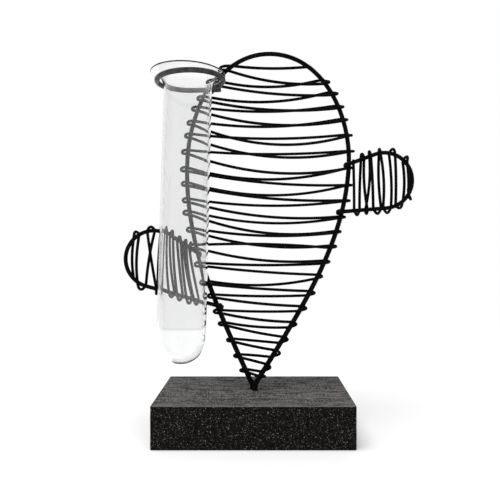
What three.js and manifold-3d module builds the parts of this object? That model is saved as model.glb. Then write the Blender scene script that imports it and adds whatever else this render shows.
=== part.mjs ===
// Hydroponic planter: a glass test tube hangs by its flared lip in a ring of iron rod.
// The ring is welded to a teardrop of the same rod that stands in a wooden block, with a
// rod lobe on each flank. Thin wire is wound by hand round the teardrop and both lobes.
// Millimetres, +Z up, X to the right, Y to the back, origin at the centre of the block's base.
import * as THREE from 'three';
import { mergeVertices } from 'three/addons/utils/BufferGeometryUtils.js';
import Module from 'manifold-3d';

const wasm = await Module();
wasm.setup();

const { degToRad, lerp, clamp } = THREE.MathUtils;

// Driving dimensions: rod, wire and the gap that touching pieces keep
const ROD = 3.2;
const WIRE = 1.6;
const SEAT_GAP = 0.3;

// Wooden block
const BLOCK_WIDTH = 126;
const BLOCK_DEPTH = 70;
const BLOCK_HEIGHT = 27;
const BLOCK_EDGE = 0.8;
const BLOCK_CORNER = 1.2;

// Teardrop, in its own plane: u across from the tip, v up its axis
const TEAR_HEIGHT = 226;
const LEFT_HALF_WIDTH = 53.8;
const RIGHT_HALF_WIDTH = 55.6;
const TEAR_WIDEST_AT = 152.3;
const TEAR_LEAN = degToRad(3.5);
const TEAR_LEG_ANGLE = degToRad(28.4);
const LEG_PULL = 69;
const FLANK_PULL = 50;
const SHOULDER_PULL = 34.7;
const CROWN_PULL = 34.4;
const TIP_X = -0.5;
const TIP_RISE = 2;
const FOOT_DEPTH = 18;
const FOOT_BEND = 2.4;
const FOOT_TWIST = degToRad(60);

// Ring: step is from its centre to where its tail crosses the teardrop's rod
const RING_BORE = 38;
const RING_HEIGHT = 229;
const RING_STEP = 9;
const RING_TAIL = 8.8;
const RING_RISE = degToRad(2.2);
const RING_DROOP = degToRad(1.3);

// Test tube: it hangs a little to the left in the ring and leans the other way
const TUBE_DIAMETER = 30;
const TUBE_LENGTH = 181.5;
const TUBE_WALL = 1.3;
const TUBE_FLOOR = 2.2;
const LIP_DIAMETER = 46.8;
const FLARE_RADIUS = 9;
const TUBE_LEAN = degToRad(1.1);
const TUBE_SHIFT = 1.4;

// Lobes: centre is a height and out is how far it lies from the flank, upper and lower are the
// heights where the legs cross the flank, and lowerEnd is how far the lower leg runs on past it
const LEFT_LOBE = {
  turn: -1,
  radius: 19,
  out: 30.9,
  centre: 115.7,
  upper: 120,
  lower: 84.5,
  lowerEnd: 5,
};
const RIGHT_LOBE = {
  turn: 1,
  radius: 18.6,
  out: 24.2,
  centre: 168.4,
  upper: 179.6,
  lower: 147.4,
  lowerEnd: 3,
};
const UPPER_LEG_END = 1.6;

// Weld beads
const BEAD_RADIUS = 1.8;
const FOOT_BEAD_RISE = 2;

// Facets
const ROD_SIDES = 10;
const WIRE_SIDES = 5;
const TUBE_SIDES = 32;
const BODY_STEPS = { strand: 6, wrap: 6 };
const LOBE_STEPS = { strand: 4, wrap: 5 };

// Materials
const STAINED_WOOD = { color: 0x2b2927, roughness: 0.85, metalness: 0 };
const BLACK_ROD = { color: 0x0c0c0d, roughness: 0.5, metalness: 0.3 };
const BLACK_WIRE = { color: 0x0a0a0b, roughness: 0.45, metalness: 0.3 };
const RING_IRON = { color: 0x2c2c2e, roughness: 0.4, metalness: 0.6 };
const CLEAR_GLASS = { color: 0xf4f7f6, roughness: 0.03, transparent: true, opacity: 0.3 };

const planter = new THREE.Group();

function addPiece(name, geometry, look, parent = planter) {
  const mesh = new THREE.Mesh(geometry, new THREE.MeshStandardMaterial(look));
  mesh.name = name;
  parent.add(mesh);
  return mesh;
}

// Solids for joining and cutting
function toSolid(geometry) {
  const bare = new THREE.BufferGeometry();
  bare.setAttribute('position', geometry.getAttribute('position').clone());
  if (geometry.index) {
    bare.setIndex(geometry.index.clone());
  }
  const merged = mergeVertices(bare, 1e-4);
  const vertProperties = new Float32Array(merged.getAttribute('position').array);
  const triVerts = new Uint32Array(merged.index.array);
  return new wasm.Manifold(new wasm.Mesh({ numProp: 3, vertProperties, triVerts }));
}

function toGeometry(solid) {
  const mesh = solid.getMesh();
  const geometry = new THREE.BufferGeometry();
  geometry.setAttribute('position', new THREE.BufferAttribute(new Float32Array(mesh.vertProperties), 3));
  geometry.setIndex(new THREE.BufferAttribute(new Uint32Array(mesh.triVerts), 1));
  geometry.computeVertexNormals();
  return geometry;
}

// Round rod along a curve
function rodAlong(curve, steps, diameter = ROD) {
  const section = new THREE.Shape();
  section.absarc(0, 0, diameter / 2, 0, 2 * Math.PI);
  const options = { steps, extrudePath: curve, bevelEnabled: false, curveSegments: ROD_SIDES / 2 };
  return new THREE.ExtrudeGeometry(section, options);
}

// Wooden block with two blind holes for the rod's feet
function blockGeometry(feet) {
  const halfWidth = BLOCK_WIDTH / 2;
  const halfDepth = BLOCK_DEPTH / 2;
  const outline = new THREE.Shape();
  outline.absarc(halfWidth - BLOCK_CORNER, halfDepth - BLOCK_CORNER, BLOCK_CORNER, 0, Math.PI / 2);
  outline.absarc(BLOCK_CORNER - halfWidth, halfDepth - BLOCK_CORNER, BLOCK_CORNER, Math.PI / 2, Math.PI);
  outline.absarc(BLOCK_CORNER - halfWidth, BLOCK_CORNER - halfDepth, BLOCK_CORNER, Math.PI, 1.5 * Math.PI);
  outline.absarc(halfWidth - BLOCK_CORNER, BLOCK_CORNER - halfDepth, BLOCK_CORNER, 1.5 * Math.PI, 2 * Math.PI);
  outline.closePath();
  const block = new THREE.ExtrudeGeometry(outline, {
    depth: BLOCK_HEIGHT - 2 * BLOCK_EDGE,
    bevelThickness: BLOCK_EDGE,
    bevelSize: BLOCK_EDGE,
    bevelOffset: -BLOCK_EDGE,
    bevelSegments: 4,
    curveSegments: 3,
  });
  block.translate(0, 0, BLOCK_EDGE);
  let solid = toSolid(block);
  const holeDepth = FOOT_DEPTH + SEAT_GAP;
  for (const foot of feet) {
    const hole = new THREE.CylinderGeometry(ROD / 2 + SEAT_GAP, ROD / 2 + SEAT_GAP, 2 * holeDepth, 16);
    hole.rotateX(Math.PI / 2);
    hole.translate(foot.x, foot.y, BLOCK_HEIGHT);
    solid = solid.subtract(toSolid(hole));
  }
  return toGeometry(solid);
}

// Teardrop: side is -1 for the left flank and 1 for the right
const TIP_HEIGHT = BLOCK_HEIGHT + TIP_RISE;
const footOffset = new THREE.Vector2(Math.cos(FOOT_TWIST), -Math.sin(FOOT_TWIST));
footOffset.multiplyScalar((ROD + SEAT_GAP) / 2);

function inTeardrop(u, v, y = 0) {
  const x = TIP_X + u * Math.cos(TEAR_LEAN) + v * Math.sin(TEAR_LEAN);
  const z = v * Math.cos(TEAR_LEAN) - u * Math.sin(TEAR_LEAN);
  return new THREE.Vector3(x, y, TIP_HEIGHT + z);
}

function flankCurves(side, halfWidth) {
  const footX = side * footOffset.x;
  const footY = side * footOffset.y;
  const bendV = footOffset.x / Math.tan(TEAR_LEG_ANGLE);
  const legU = footOffset.x + FOOT_BEND * Math.sin(TEAR_LEG_ANGLE);
  const legV = bendV + FOOT_BEND * Math.cos(TEAR_LEG_ANGLE);
  const pullU = LEG_PULL * Math.sin(TEAR_LEG_ANGLE);
  const pullV = LEG_PULL * Math.cos(TEAR_LEG_ANGLE);
  const bend = inTeardrop(side * footOffset.x, bendV, footY);
  const legStart = inTeardrop(side * legU, legV, footY);
  const widest = inTeardrop(side * halfWidth, TEAR_WIDEST_AT);
  const footEnd = new THREE.Vector3(footX, footY, BLOCK_HEIGHT - FOOT_DEPTH);
  const footTop = new THREE.Vector3(footX, footY, bend.z - FOOT_BEND);
  bend.x = footX;
  return {
    foot: new THREE.LineCurve3(footEnd, footTop),
    bend: new THREE.QuadraticBezierCurve3(footTop, bend, legStart),
    leg: new THREE.CubicBezierCurve3(
      legStart,
      inTeardrop(side * pullU, pullV, footY / 2),
      inTeardrop(side * halfWidth, TEAR_WIDEST_AT - FLANK_PULL),
      widest,
    ),
    crown: new THREE.CubicBezierCurve3(
      widest,
      inTeardrop(side * halfWidth, TEAR_WIDEST_AT + SHOULDER_PULL),
      inTeardrop(side * CROWN_PULL, TEAR_HEIGHT),
      inTeardrop(0, TEAR_HEIGHT),
    ),
  };
}

function reversed(curve) {
  if (curve.isLineCurve3) {
    return new THREE.LineCurve3(curve.v2, curve.v1);
  }
  if (curve.isQuadraticBezierCurve3) {
    return new THREE.QuadraticBezierCurve3(curve.v2, curve.v1, curve.v0);
  }
  return new THREE.CubicBezierCurve3(curve.v3, curve.v2, curve.v1, curve.v0);
}

const leftFlank = flankCurves(-1, LEFT_HALF_WIDTH);
const rightFlank = flankCurves(1, RIGHT_HALF_WIDTH);

function teardropCurve() {
  const path = new THREE.CurvePath();
  path.add(leftFlank.foot);
  path.add(leftFlank.bend);
  path.add(leftFlank.leg);
  path.add(leftFlank.crown);
  path.add(reversed(rightFlank.crown));
  path.add(reversed(rightFlank.leg));
  path.add(reversed(rightFlank.bend));
  path.add(reversed(rightFlank.foot));
  return path;
}

// A branch is a run of rod as close points, in rising order of one coordinate
function branchOf(curves, axis, pointsPerCurve = 200) {
  const points = curves.flatMap((curve) => curve.getPoints(pointsPerCurve));
  points.sort((a, b) => a[axis] - b[axis]);
  return { points, axis };
}

// The branch's point and direction where its coordinate has a value
function onBranch(branch, value) {
  const { points, axis } = branch;
  let next = points.findIndex((point) => point[axis] >= value);
  next = clamp(next < 0 ? points.length - 1 : next, 1, points.length - 1);
  const low = points[next - 1];
  const high = points[next];
  const span = Math.max(high[axis] - low[axis], 1e-9);
  const point = low.clone().lerp(high, clamp((value - low[axis]) / span, 0, 1));
  const from = points[Math.max(next - 3, 0)];
  const to = points[Math.min(next + 2, points.length - 1)];
  return { point, tangent: to.clone().sub(from).normalize() };
}

const leftSide = branchOf([leftFlank.leg, leftFlank.crown], 'z');
const rightSide = branchOf([rightFlank.leg, rightFlank.crown], 'z');

// Lobe: a round end with two straight legs that run in front of the teardrop's rod
const FRONT_OF_ROD = -(ROD + SEAT_GAP);

class ArcInFront extends THREE.Curve {
  constructor(centre, radius, from, to) {
    super();
    this.centre = centre;
    this.radius = radius;
    this.from = from;
    this.to = to;
  }

  getPoint(t, target = new THREE.Vector3()) {
    const angle = lerp(this.from, this.to, t);
    const x = this.centre.x + this.radius * Math.cos(angle);
    const z = this.centre.z + this.radius * Math.sin(angle);
    return target.set(x, this.centre.y, z);
  }
}

// Angle on the circle where a straight leg from a point meets it; up picks the upper of the two
function tangentAngle(from, centre, radius, side) {
  const toPoint = Math.atan2(from.z - centre.z, from.x - centre.x);
  const reach = Math.hypot(from.x - centre.x, from.z - centre.z);
  return toPoint + side * Math.acos(radius / reach);
}

function lobeParts(lobe, flank) {
  const atCentre = onBranch(flank, lobe.centre).point;
  const centre = new THREE.Vector3(atCentre.x + lobe.turn * lobe.out, FRONT_OF_ROD, lobe.centre);
  const upperCross = onBranch(flank, lobe.upper).point.setY(FRONT_OF_ROD);
  const lowerCross = onBranch(flank, lobe.lower).point.setY(FRONT_OF_ROD);
  const upperAngle = tangentAngle(upperCross, centre, lobe.radius, -lobe.turn);
  let lowerAngle = tangentAngle(lowerCross, centre, lobe.radius, lobe.turn);
  if (lobe.turn < 0) {
    lowerAngle += 2 * Math.PI;
  }
  const arc = new ArcInFront(centre, lobe.radius, upperAngle, lowerAngle);
  const upperMeet = arc.getPoint(0);
  const lowerMeet = arc.getPoint(1);
  const upperWay = upperCross.clone().sub(upperMeet).normalize();
  const lowerWay = lowerCross.clone().sub(lowerMeet).normalize();
  const upperEnd = upperCross.clone().addScaledVector(upperWay, UPPER_LEG_END);
  const lowerEnd = lowerCross.clone().addScaledVector(lowerWay, lobe.lowerEnd);
  const upperLeg = new THREE.LineCurve3(upperEnd, upperMeet);
  const lowerLeg = new THREE.LineCurve3(lowerMeet, lowerEnd);
  const middle = (upperAngle + lowerAngle) / 2;
  const upperArc = new ArcInFront(centre, lobe.radius, upperAngle, middle);
  const lowerArc = new ArcInFront(centre, lobe.radius, middle, lowerAngle);
  const path = new THREE.CurvePath();
  path.add(upperLeg);
  path.add(arc);
  path.add(lowerLeg);
  return {
    path,
    upperCross,
    lowerCross,
    upperWay,
    lowerWay,
    upper: branchOf([upperLeg, upperArc], 'x'),
    lower: branchOf([lowerArc, lowerLeg], 'x'),
  };
}

// Ring: one loop whose tail runs straight on across the front of the teardrop's rod
class RingCurve extends THREE.Curve {
  constructor(radius, from, to) {
    super();
    this.radius = radius;
    this.from = from;
    this.to = to;
  }

  getPoint(t, target = new THREE.Vector3()) {
    const angle = lerp(this.from, this.to, t);
    return target.set(this.radius * Math.cos(angle), this.radius * Math.sin(angle), 0);
  }
}

const RING_RADIUS = (RING_BORE + ROD) / 2;
const ringTurn = new THREE.Euler(RING_DROOP, -RING_RISE, 0);
const tailCross = onBranch(leftSide, RING_HEIGHT).point.setY(FRONT_OF_ROD);
const ringCentre = new THREE.Vector3(-RING_STEP, -RING_RADIUS, 0).applyEuler(ringTurn).add(tailCross);

function ringGeometry() {
  // The loop stops where its end would touch the tail
  const endGap = ROD + 2 * SEAT_GAP;
  const endAngle = 2 * Math.PI + Math.asin(1 - endGap / RING_RADIUS);
  const tailEnd = new THREE.Vector3(RING_STEP + RING_TAIL, RING_RADIUS, 0);
  const tailStart = new THREE.Vector3(0, RING_RADIUS, 0);
  const path = new THREE.CurvePath();
  path.add(new THREE.LineCurve3(tailEnd, tailStart));
  path.add(new RingCurve(RING_RADIUS, Math.PI / 2, endAngle));
  return rodAlong(path, 56);
}

// Height of the flare's start over the ring's centre when the flare rests on the ring
function flareSeat(tubePlace) {
  const flareX = TUBE_DIAMETER / 2 + FLARE_RADIUS;
  const reach = FLARE_RADIUS - ROD / 2 - SEAT_GAP;
  const toTube = tubePlace.clone().invert();
  const samples = 72;
  let seat = -Infinity;
  for (let i = 0; i < samples; i += 1) {
    const angle = (2 * Math.PI * i) / samples;
    const place = new THREE.Vector3(RING_RADIUS * Math.cos(angle), RING_RADIUS * Math.sin(angle), 0);
    place.applyEuler(ringTurn).add(ringCentre).applyMatrix4(toTube);
    const level = Math.sqrt(reach ** 2 - (flareX - Math.hypot(place.x, place.y)) ** 2);
    seat = Math.max(seat, place.z - level);
  }
  return seat;
}

// Test tube about its own axis: flareZ is where its straight wall ends
function tubeGeometry(flareZ) {
  const radius = TUBE_DIAMETER / 2;
  const boreRadius = radius - TUBE_WALL;
  const flareX = radius + FLARE_RADIUS;
  const rimRadius = TUBE_WALL / 2;
  const flareEnd = Math.acos((flareX + rimRadius - LIP_DIAMETER / 2) / (FLARE_RADIUS + rimRadius));
  const rimX = flareX - (FLARE_RADIUS + rimRadius) * Math.cos(flareEnd);
  const rimZ = flareZ + (FLARE_RADIUS + rimRadius) * Math.sin(flareEnd);
  const bottom = rimZ + rimRadius - TUBE_LENGTH;
  const outline = [];
  const arc = (x, z, r, from, to, steps) => {
    for (let i = 0; i <= steps; i += 1) {
      const angle = lerp(from, to, i / steps);
      outline.push(new THREE.Vector2(x + r * Math.cos(angle), z + r * Math.sin(angle)));
    }
  };
  arc(0, bottom + radius, radius, -Math.PI / 2, 0, 8);
  arc(flareX, flareZ, FLARE_RADIUS, Math.PI, Math.PI - flareEnd, 7);
  arc(rimX, rimZ, rimRadius, -flareEnd + Math.PI / 6, Math.PI - flareEnd - Math.PI / 6, 3);
  arc(flareX, flareZ, FLARE_RADIUS + TUBE_WALL, Math.PI - flareEnd, Math.PI, 7);
  arc(0, bottom + TUBE_FLOOR + boreRadius, boreRadius, 0, -Math.PI / 2, 7);
  outline[0].x = 0;
  outline[outline.length - 1].x = 0;
  const glass = new THREE.LatheGeometry(outline, TUBE_SIDES);
  glass.rotateX(Math.PI / 2);
  return glass;
}

// Windings: one wire runs to and fro between two branches of rod, over the front one way
// and behind the other way, and turns round the outside of each rod
const WIRE_STAND_OFF = (ROD + WIRE) / 2 + SEAT_GAP;

// How far a turn stands off the rod: a little more or less from one turn to the next
const TURN_SLACK = 0.4;
const SLACK_RATE = 2.2;
const SLACK_PHASE = 1.6;
const LEFT_SLACK = 0.4;
const LOOSE_LOOP = 3.4;

function turnSlack(strand, phase = 0) {
  return TURN_SLACK * (1 + Math.sin(SLACK_RATE * strand + phase));
}

// Hand-made spacing: even steps from a first to a last value, and a few waves
function along({ first, last, waves }, index, count) {
  let value = lerp(first, last, index / (count - 1));
  for (const { size, rate, phase } of waves) {
    value += size * Math.sin(rate * index + phase);
  }
  return value;
}

// How a turn stands off the rod: lean tips it from straight outward towards square to the rod
function wrapFrame(seat, outward, lean) {
  const { point, tangent } = seat;
  const normal = new THREE.Vector3(tangent.z, 0, -tangent.x).normalize();
  if (normal.dot(outward) < 0) {
    normal.negate();
  }
  const way = normal.multiplyScalar(lean).add(outward).normalize();
  const crossing = Math.abs(way.x * tangent.z - way.z * tangent.x);
  return { point, way, reach: WIRE_STAND_OFF / crossing };
}

function windingPoints(winding, steps) {
  const { sides, outward, lean, strands, startsAt, startsBehind } = winding;
  const { seat, lastStep, sag, sagWay, slack } = winding;
  const points = [];
  const onRod = (end, value, angle, spare = 0) => {
    const { point, way, reach } = wrapFrame(onBranch(sides[end], value), outward[end], lean);
    const place = point.clone().addScaledVector(way, (reach + spare) * Math.sin(angle));
    place.y += WIRE_STAND_OFF * Math.cos(angle);
    return place;
  };
  for (let strand = 0; strand < strands; strand += 1) {
    const from = (strand + startsAt) % 2;
    const to = 1 - from;
    const planeAngle = (strand % 2 === 0) === startsBehind ? 0 : Math.PI;
    const start = onRod(from, seat(from, strand), planeAngle);
    const end = onRod(to, seat(to, strand), planeAngle);
    if (strand === 0) {
      points.push(start.clone().addScaledVector(outward[from], ROD / 2));
    }
    const depth = sag(strand, start.distanceTo(end));
    for (let i = 0; i < steps.strand; i += 1) {
      const t = i / steps.strand;
      points.push(start.clone().lerp(end, t).addScaledVector(sagWay, 4 * depth * t * (1 - t)));
    }
    const isLast = strand === strands - 1;
    const nextSeat = isLast ? seat(to, strand) + lastStep : seat(to, strand + 1);
    for (let i = 0; i < steps.wrap; i += 1) {
      const t = i / steps.wrap;
      const value = lerp(seat(to, strand), nextSeat, t);
      points.push(onRod(to, value, lerp(planeAngle, Math.PI - planeAngle, t), slack(strand)));
    }
    if (isLast) {
      const tuck = onRod(to, nextSeat, Math.PI - planeAngle);
      points.push(tuck, tuck.clone().addScaledVector(outward[to], -2 * WIRE));
    }
  }
  return points;
}

// Closed tube through a run of points, its ring carried along without twist
function wireThrough(points) {
  const positions = [];
  const index = [];
  const tangents = points.map((point, i) => {
    const before = points[Math.max(i - 1, 0)];
    const after = points[Math.min(i + 1, points.length - 1)];
    const into = point.clone().sub(before).normalize();
    const out = after.clone().sub(point).normalize();
    return into.add(out).normalize();
  });
  const across = new THREE.Vector3(0, 1, 0).cross(tangents[0]);
  if (across.lengthSq() < 0.01) {
    across.set(1, 0, 0).cross(tangents[0]);
  }
  across.normalize();
  points.forEach((point, i) => {
    if (i > 0) {
      const turn = new THREE.Quaternion().setFromUnitVectors(tangents[i - 1], tangents[i]);
      across.applyQuaternion(turn).normalize();
    }
    const up = tangents[i].clone().cross(across);
    for (let side = 0; side < WIRE_SIDES; side += 1) {
      const angle = (2 * Math.PI * side) / WIRE_SIDES;
      const place = point.clone();
      place.addScaledVector(across, (WIRE / 2) * Math.cos(angle));
      place.addScaledVector(up, (WIRE / 2) * Math.sin(angle));
      positions.push(place.x, place.y, place.z);
    }
  });
  for (let ring = 0; ring < points.length - 1; ring += 1) {
    for (let side = 0; side < WIRE_SIDES; side += 1) {
      const a = ring * WIRE_SIDES + side;
      const b = ring * WIRE_SIDES + ((side + 1) % WIRE_SIDES);
      index.push(a, b, b + WIRE_SIDES, a, b + WIRE_SIDES, a + WIRE_SIDES);
    }
  }
  const last = (points.length - 1) * WIRE_SIDES;
  for (let side = 1; side < WIRE_SIDES - 1; side += 1) {
    index.push(0, side + 1, side, last, last + side, last + side + 1);
  }
  const geometry = new THREE.BufferGeometry();
  geometry.setAttribute('position', new THREE.Float32BufferAttribute(positions, 3));
  geometry.setIndex(index);
  geometry.computeVertexNormals();
  return geometry;
}

// Least clear distance between two stretches of one wire that aren't neighbours along it
function leastGap(points) {
  const spacing = 1.5;
  const apart = 4 * WIRE_STAND_OFF;
  const dense = [];
  let travelled = 0;
  for (let i = 0; i < points.length - 1; i += 1) {
    const length = points[i].distanceTo(points[i + 1]);
    const pieces = Math.ceil(length / spacing);
    for (let k = 0; k < pieces; k += 1) {
      const place = points[i].clone().lerp(points[i + 1], k / pieces);
      dense.push({ place, at: travelled + (length * k) / pieces });
    }
    travelled += length;
  }
  let least = Infinity;
  for (let i = 0; i < dense.length; i += 1) {
    for (let k = i + 1; k < dense.length; k += 1) {
      if (dense[k].at - dense[i].at > apart) {
        least = Math.min(least, dense[i].place.distanceTo(dense[k].place));
      }
    }
  }
  return least - WIRE;
}

const LEFTWARD = new THREE.Vector3(-1, 0, 0);
const RIGHTWARD = new THREE.Vector3(1, 0, 0);
const UPWARD = new THREE.Vector3(0, 0, 1);
const DOWNWARD = new THREE.Vector3(0, 0, -1);

// Body winding: heights of the wire's turns on each flank, from the top down
const BODY_STRANDS = 42;
const BODY_TURNS = Math.floor(BODY_STRANDS / 2) + 1;
const LEFT_TURNS = {
  first: 247.19,
  last: 31.06,
  waves: [
    { size: 2.49, rate: 0.338, phase: -0.8 },
    { size: 1.3, rate: 1.005, phase: -3.12 },
    { size: 0.67, rate: 2.654, phase: -0.3 },
  ],
};
const RIGHT_TURNS = {
  first: 248.49,
  last: 31.23,
  waves: [
    { size: 4.62, rate: 0.49, phase: -2.08 },
    { size: 4.37, rate: 0.572, phase: 0 },
    { size: 0.28, rate: 2.579, phase: -2.88 },
  ],
};

// Half the height between a turn's rear strand and its front strand
const LEFT_SPREAD = { first: 2.18, last: 0.15, waves: [] };
const RIGHT_SPREAD = { first: 2.42, last: -3.34, waves: [] };

// How far a strand as long as the teardrop is wide hangs down in its middle
const REAR_SAG = {
  first: 7.13,
  last: 1.6,
  waves: [
    { size: 2.63, rate: 0.881, phase: 0.46 },
    { size: 2.05, rate: 1.791, phase: -3.31 },
    { size: 3.62, rate: 1.947, phase: -0.65 },
  ],
};
const FRONT_SAG = {
  first: 8.37,
  last: 2.43,
  waves: [
    { size: 2.88, rate: 1.029, phase: -3.06 },
    { size: 0.56, rate: 2.11, phase: 1.07 },
    { size: 0.81, rate: 3.158, phase: -4.08 },
  ],
};

// The wire lies looser round the left flank, where each turn follows a rear strand
function bodySlack(strand) {
  if (strand === 0) {
    return LOOSE_LOOP;
  }
  const least = strand % 2 === 0 ? LEFT_SLACK : 0;
  return least + turnSlack(strand, SLACK_PHASE);
}

const bodyWinding = {
  sides: [leftSide, rightSide],
  outward: [LEFTWARD, RIGHTWARD],
  lean: 0,
  strands: BODY_STRANDS,
  startsAt: 1,
  startsBehind: true,
  seat: (end, strand) => {
    const turn = end === 0 ? Math.floor(strand / 2) : Math.floor((strand + 1) / 2);
    const spread = along(end === 0 ? LEFT_SPREAD : RIGHT_SPREAD, turn, BODY_TURNS);
    const middle = along(end === 0 ? LEFT_TURNS : RIGHT_TURNS, turn, BODY_TURNS);
    return strand % 2 === 0 ? middle + spread : middle - spread;
  },
  lastStep: -WIRE / 2,
  sag: (strand, span) => {
    const full = along(strand % 2 === 0 ? REAR_SAG : FRONT_SAG, Math.floor(strand / 2), BODY_TURNS);
    return full * (span / (LEFT_HALF_WIDTH + RIGHT_HALF_WIDTH)) ** 2;
  },
  sagWay: DOWNWARD,
  slack: bodySlack,
};

// Lobe windings: where each strand crosses the upper and the lower rod, in X
const leftLobe = lobeParts(LEFT_LOBE, leftSide);
const rightLobe = lobeParts(RIGHT_LOBE, rightSide);

const STAGGER = 0.55;

function stagger(strand) {
  return strand % 2 === 0 ? -STAGGER : STAGGER;
}

const RIGHT_STRANDS = 11;
const RIGHT_UPPER = {
  first: 66.2,
  last: 101.5,
  waves: [
    { size: 1.5, rate: 0.74, phase: 0.7 },
    { size: 1.2, rate: 2.82, phase: 0.05 },
    { size: 0.5, rate: 1.76, phase: -0.87 },
  ],
};
const RIGHT_LOWER = {
  first: 66.8,
  last: 102.1,
  waves: [
    { size: 1.2, rate: 1.62, phase: -0.51 },
    { size: 1.55, rate: 2.46, phase: 2.9 },
    { size: 0.85, rate: 0.82, phase: 1.06 },
  ],
};
const RIGHT_BOW = {
  first: -0.35,
  last: 1.15,
  waves: [
    { size: 0.7, rate: 1.66, phase: 2.63 },
    { size: 0.85, rate: 2.3, phase: 0.19 },
  ],
};

const LEFT_STRANDS = 13;
const LEFT_UPPER = {
  first: -78.3,
  last: -39.7,
  waves: [
    { size: 2.65, rate: 0.46, phase: -0.78 },
    { size: 0.85, rate: 1.06, phase: -2.12 },
  ],
};
const LEFT_LOWER = {
  first: -80,
  last: -32.8,
  waves: [
    { size: 2.15, rate: 0.46, phase: -0.91 },
    { size: 1.2, rate: 2.54, phase: 0.56 },
    { size: 1, rate: 1.86, phase: 2.95 },
  ],
};
const LEFT_BOW = { first: 0.8, last: 0.8, waves: [{ size: 0.5, rate: 1.3, phase: 0.4 }] };

// Two neighbouring strands of the left lobe cross: they swap their upper seats
const CROSSED_STRAND = 2;

function crossedOver(strand) {
  if (strand === CROSSED_STRAND) {
    return strand + 1;
  }
  return strand === CROSSED_STRAND + 1 ? strand - 1 : strand;
}

const rightWinding = {
  sides: [rightLobe.upper, rightLobe.lower],
  outward: [UPWARD, DOWNWARD],
  lean: 1,
  strands: RIGHT_STRANDS,
  startsAt: 0,
  startsBehind: false,
  seat: (end, strand) => {
    return along(end === 0 ? RIGHT_UPPER : RIGHT_LOWER, strand, RIGHT_STRANDS) + stagger(strand);
  },
  lastStep: WIRE,
  sag: (strand) => along(RIGHT_BOW, strand, RIGHT_STRANDS),
  sagWay: RIGHTWARD,
  slack: (strand) => turnSlack(strand),
};

const leftWinding = {
  sides: [leftLobe.upper, leftLobe.lower],
  outward: [UPWARD, DOWNWARD],
  lean: 1,
  strands: LEFT_STRANDS,
  startsAt: 1,
  startsBehind: true,
  seat: (end, strand) => {
    const spacing = end === 0 ? LEFT_UPPER : LEFT_LOWER;
    const place = end === 0 ? crossedOver(strand) : strand;
    return along(spacing, place, LEFT_STRANDS) + stagger(strand);
  },
  lastStep: WIRE,
  sag: (strand) => along(LEFT_BOW, strand, LEFT_STRANDS),
  sagWay: LEFTWARD,
  slack: (strand) => turnSlack(strand),
};

// Weld bead at a corner between rods: a ball cut clear of each rod
function beadGeometry(corner, rods) {
  const ball = new THREE.SphereGeometry(BEAD_RADIUS, 12, 8);
  ball.translate(corner.x, corner.y, corner.z);
  let solid = toSolid(ball);
  for (const { point, tangent } of rods) {
    const rod = new THREE.CylinderGeometry(ROD / 2 + SEAT_GAP, ROD / 2 + SEAT_GAP, 6 * BEAD_RADIUS, 20);
    rod.applyQuaternion(new THREE.Quaternion().setFromUnitVectors(new THREE.Vector3(0, 1, 0), tangent));
    rod.translate(point.x, point.y, point.z);
    solid = solid.subtract(toSolid(rod));
  }
  return toGeometry(solid);
}

// Bead in the inner corner where a lobe's leg crosses the teardrop's rod
function crossingBead(flank, cross, way) {
  const frame = onBranch(flank, cross.z);
  const inward = way.clone().multiplyScalar(ROD / 2 + BEAD_RADIUS / 2);
  const corner = new THREE.Vector3(cross.x, FRONT_OF_ROD / 2, cross.z).add(inward);
  return beadGeometry(corner, [frame, { point: cross, tangent: way }]);
}

// Assembly
const feet = [-1, 1].map((side) => ({ x: side * footOffset.x, y: side * footOffset.y }));
addPiece('base_block', blockGeometry(feet), STAINED_WOOD);
addPiece('teardrop_frame', rodAlong(teardropCurve(), 132), BLACK_ROD);
addPiece('left_lobe_rod', rodAlong(leftLobe.path, 36), BLACK_ROD);
addPiece('right_lobe_rod', rodAlong(rightLobe.path, 36), BLACK_ROD);

const ring = addPiece('tube_ring', ringGeometry(), RING_IRON);
ring.position.copy(ringCentre);
ring.setRotationFromEuler(ringTurn);

const tubeStand = new THREE.Group();
tubeStand.position.set(ringCentre.x - TUBE_SHIFT, ringCentre.y, ringCentre.z);
tubeStand.rotation.y = TUBE_LEAN;
tubeStand.updateMatrix();
planter.add(tubeStand);
addPiece('test_tube', tubeGeometry(flareSeat(tubeStand.matrix)), CLEAR_GLASS, tubeStand);

const windings = [
  ['body_winding', bodyWinding, BODY_STEPS],
  ['left_lobe_winding', leftWinding, LOBE_STEPS],
  ['right_lobe_winding', rightWinding, LOBE_STEPS],
];
for (const [name, winding, steps] of windings) {
  const points = windingPoints(winding, steps);
  console.log(`${name}: least gap to itself ${leastGap(points).toFixed(2)} mm`);
  addPiece(name, wireThrough(points), BLACK_WIRE);
}

const legs = [leftFlank.leg, rightFlank.leg].map((leg) => {
  return { point: leg.getPoint(0), tangent: leg.getTangent(0) };
});
addPiece('foot_weld', beadGeometry(new THREE.Vector3(0, 0, TIP_HEIGHT + FOOT_BEAD_RISE), legs), BLACK_ROD);
addPiece('left_upper_weld', crossingBead(leftSide, leftLobe.upperCross, leftLobe.upperWay), BLACK_ROD);
addPiece('left_lower_weld', crossingBead(leftSide, leftLobe.lowerCross, leftLobe.lowerWay), BLACK_ROD);
addPiece('right_upper_weld', crossingBead(rightSide, rightLobe.upperCross, rightLobe.upperWay), BLACK_ROD);
addPiece('right_lower_weld', crossingBead(rightSide, rightLobe.lowerCross, rightLobe.lowerWay), BLACK_ROD);

const ringTail = new THREE.Vector3(1, 0, 0).applyEuler(ringTurn);
addPiece('ring_weld', crossingBead(leftSide, tailCross, ringTail), BLACK_ROD);

export default planter;
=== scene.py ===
import math

import bmesh
import bpy
from mathutils import Euler, Matrix, Vector, noise


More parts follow.
